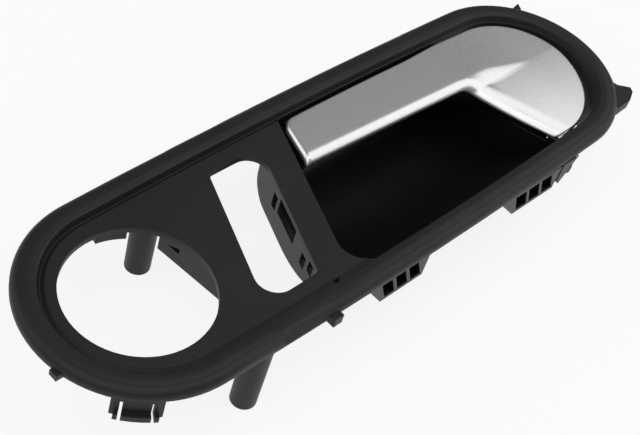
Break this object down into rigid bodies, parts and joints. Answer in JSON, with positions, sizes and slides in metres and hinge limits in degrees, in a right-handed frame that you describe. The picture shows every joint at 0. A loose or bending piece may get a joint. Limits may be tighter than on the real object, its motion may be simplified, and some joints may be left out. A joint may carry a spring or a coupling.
{
  "type": "car interior door handle",
  "caption": "Oval interior door pull: matt black bezel with a round switch hole and a slanted slot, and a satin silver sprung lever over a finger cup.",
  "frame": {"origin": "centre of the oval, on the plane of the rim's foot that lies on the door trim", "axes": "+Z out of the face towards the hand, +X along the oval towards the hinge end, +Y across it"},
  "size_m": [0.2463, 0.0777, 0.0338],
  "materials": {
    "bezel_plastic": "fine matt grain",
    "cup_plastic": "satin",
    "satin_silver": "satin silver paint",
    "carrier_plastic": "plain",
    "steel": "plain",
    "bush_plastic": "natural",
    "pad_rubber": "plain"
  },
  "bodies": {
    "housing": {"bezel": "bezel_plastic", "finger_cup": "cup_plastic", "pivot_pin": "steel", "pin_clip": "steel", "near_bush": "bush_plastic", "far_bush": "bush_plastic", "return_spring": "steel", "near_rest_pad": "pad_rubber", "far_rest_pad": "pad_rubber", "open_stop_pad": "pad_rubber", "cup_screw_1": "steel", "cup_screw_2": "steel", "cup_screw_3": "steel", "cup_screw_4": "steel"},
    "lever": {"lever_shell": "satin_silver", "lever_carrier": "carrier_plastic", "lever_screw_1": "steel", "lever_screw_2": "steel"}
  },
  "joints": [
    {"name": "lever_hinge", "type": "hinge", "parent": "housing", "child": "lever", "pos_m": [0.082, 0, -0.0086], "axis": [0, 1, 0], "range_deg": [0, 30], "stiffness_Nm_per_rad": 0.15, "springref_deg": -20.05, "deforming": ["return_spring"]}
  ]
}
